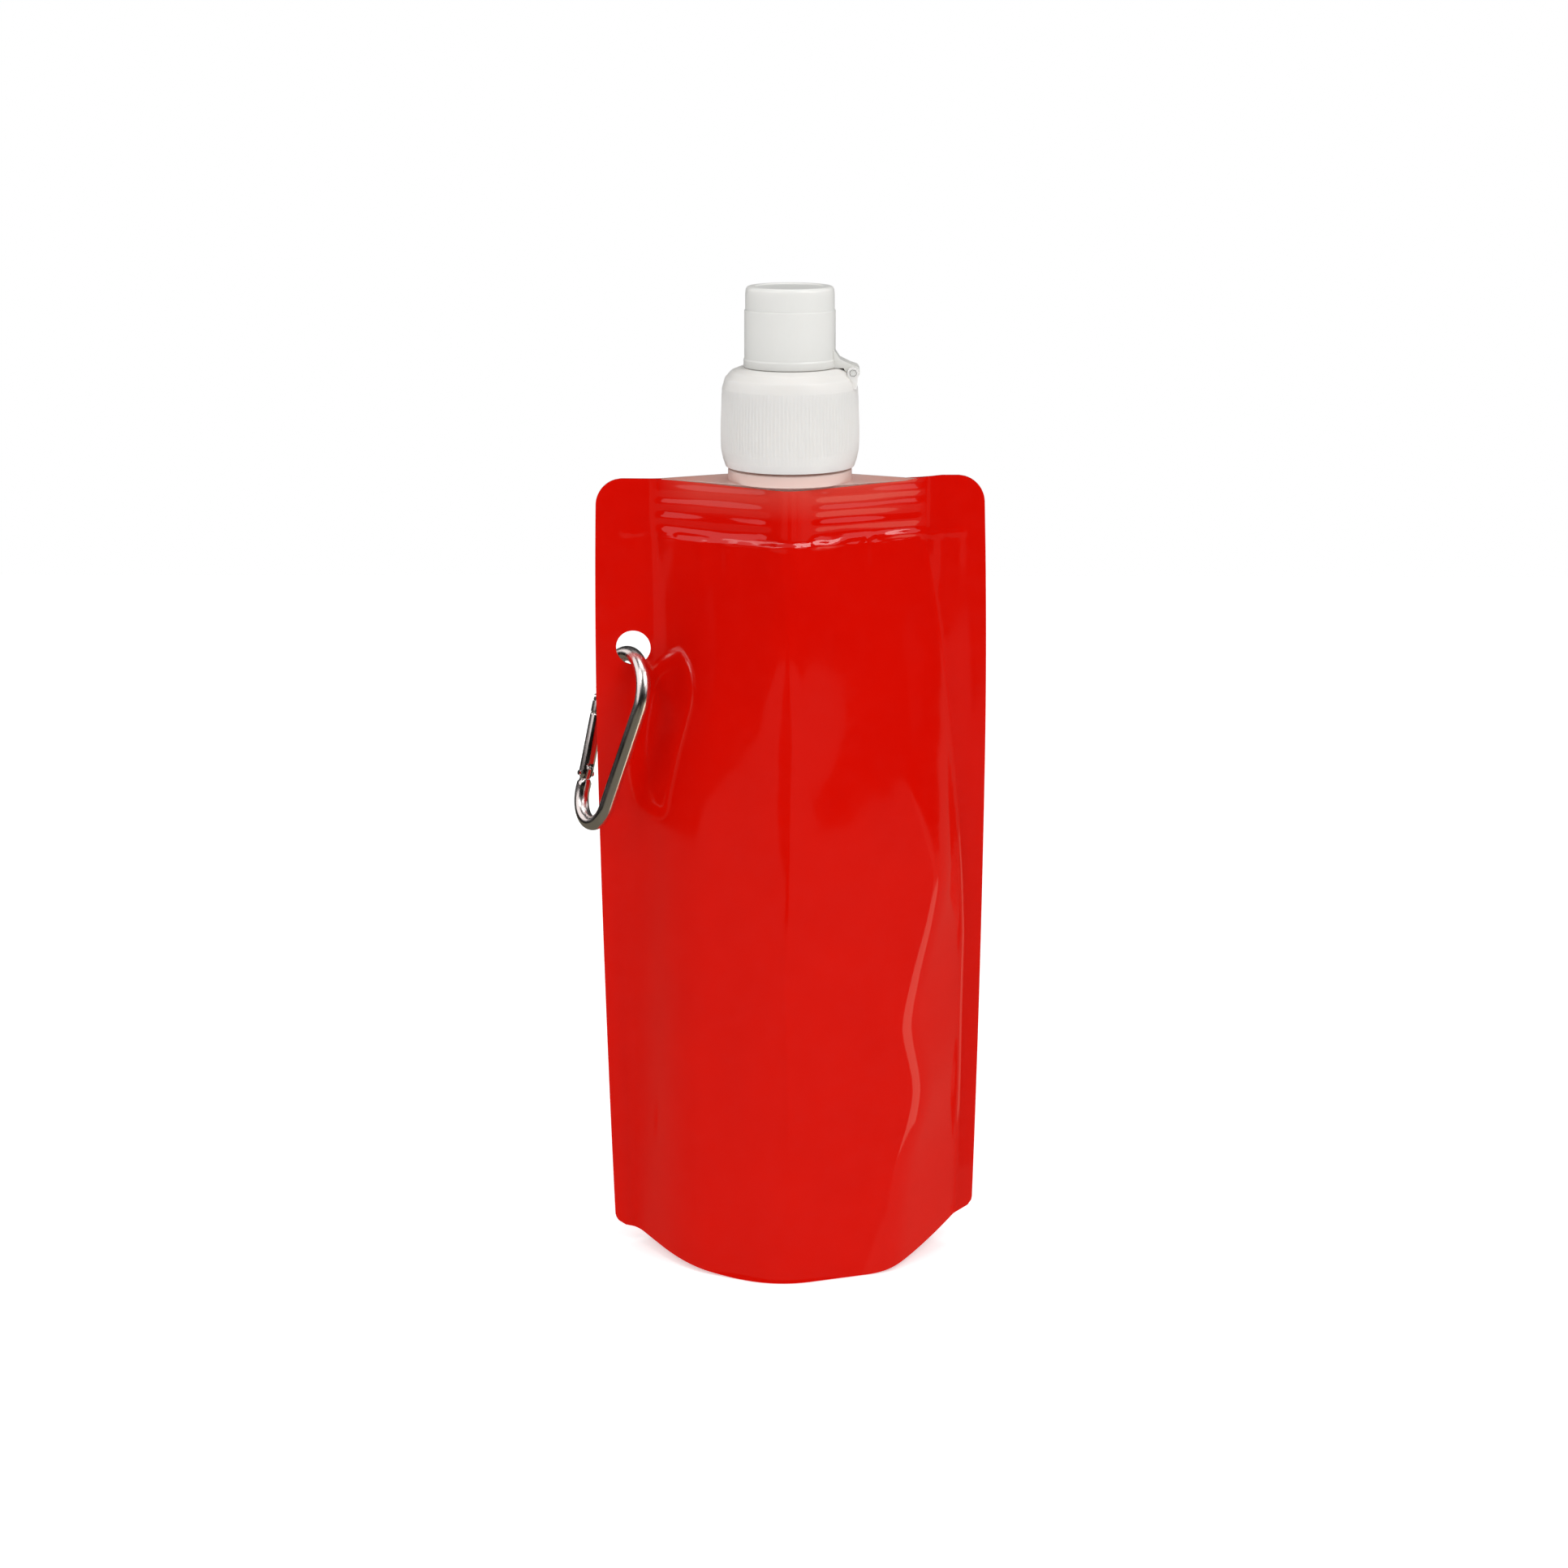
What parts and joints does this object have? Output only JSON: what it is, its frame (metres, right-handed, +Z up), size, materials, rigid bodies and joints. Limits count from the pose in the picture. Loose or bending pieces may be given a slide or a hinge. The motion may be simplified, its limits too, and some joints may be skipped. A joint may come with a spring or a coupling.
{
  "type": "folding water bottle",
  "caption": "Stand-up film pouch with a welded spout, a screw cap with a pull nozzle under a hinged dust cover, and a small gated clip through its side seal.",
  "frame": {"origin": "on the standing surface, at the middle of the bounding box", "axes": "+Z up along the spout, -Y out of the front panel, -X towards the side seal with the clip"},
  "size_m": [0.112, 0.0563, 0.2682],
  "materials": {
    "red_film": "glossy laminated film",
    "spout_plastic": "natural polyethylene",
    "liner_foam": "foamed sealing ring",
    "cap_plastic": "frosted, slightly translucent",
    "cover_plastic": "translucent, satin",
    "polished_metal": "polished",
    "spring_steel": "bright drawn wire"
  },
  "bodies": {
    "pouch_frame": {"left_side_seal": "red_film", "right_side_seal": "red_film", "top_weld_front": "red_film", "top_weld_back": "red_film", "spout_fitment": "spout_plastic"},
    "front_panel": {"front_film": "red_film", "gusset_front_leaf": "red_film"},
    "back_panel": {"back_film": "red_film", "gusset_back_leaf": "red_film"},
    "liner": {"cap_liner": "liner_foam"},
    "cap": {"screw_cap": "cap_plastic"},
    "nozzle": {"pull_nozzle": "cap_plastic"},
    "cover": {"dust_cover": "cover_plastic"},
    "carabiner": {"carabiner_body": "polished_metal", "gate_rivet": "polished_metal", "latch_pin": "spring_steel"},
    "gate": {"carabiner_gate": "polished_metal", "gate_spring": "spring_steel", "gate_plunger": "spring_steel"}
  },
  "joints": [
    {"name": "front_panel_squeeze", "type": "slide", "parent": "pouch_frame", "child": "front_panel", "axis": [0, 1, 0], "range_m": [0, 0.018], "deforming": ["front_film", "gusset_front_leaf"]},
    {"name": "back_panel_squeeze", "type": "slide", "parent": "pouch_frame", "child": "back_panel", "axis": [0, -1, 0], "range_m": [0, 0.018], "deforming": ["back_film", "gusset_back_leaf"]},
    {"name": "cap_lift", "type": "slide", "parent": "pouch_frame", "child": "liner", "axis": [0, 0, 1], "range_m": [0, 0.01]},
    {"name": "cap_turn", "type": "hinge", "parent": "liner", "child": "cap", "pos_m": [0.0032, 0, 0.23], "axis": [0, 0, 1], "range_deg": [0, 900]},
    {"name": "nozzle_pull", "type": "slide", "parent": "cap", "child": "nozzle", "axis": [0, 0, 1], "range_m": [0, 0.004]},
    {"name": "cover_flip", "type": "hinge", "parent": "cap", "child": "cover", "pos_m": [0.0196, 0, 0.2464], "axis": [0, 1, 0], "range_deg": [0, 160]},
    {"name": "carabiner_swing", "type": "hinge", "parent": "pouch_frame", "child": "carabiner", "pos_m": [-0.0388, 0, 0.1702], "axis": [0, 1, 0], "range_deg": [0, 145]},
    {"name": "gate_open", "type": "hinge", "parent": "carabiner", "child": "gate", "pos_m": [-0.05281, 0.00632, 0.13576], "axis": [0.8304, 0.5, -0.246], "range_deg": [0, 18], "stiffness_Nm_per_rad": 0.01, "springref_deg": -22.92}
  ],
  "couplings": [
    {"joint": "back_panel_squeeze", "follows": "front_panel_squeeze", "ratio": 1},
    {"joint": "cap_turn", "follows": "cap_lift", "rad_per_m": 1570.8}
  ]
}
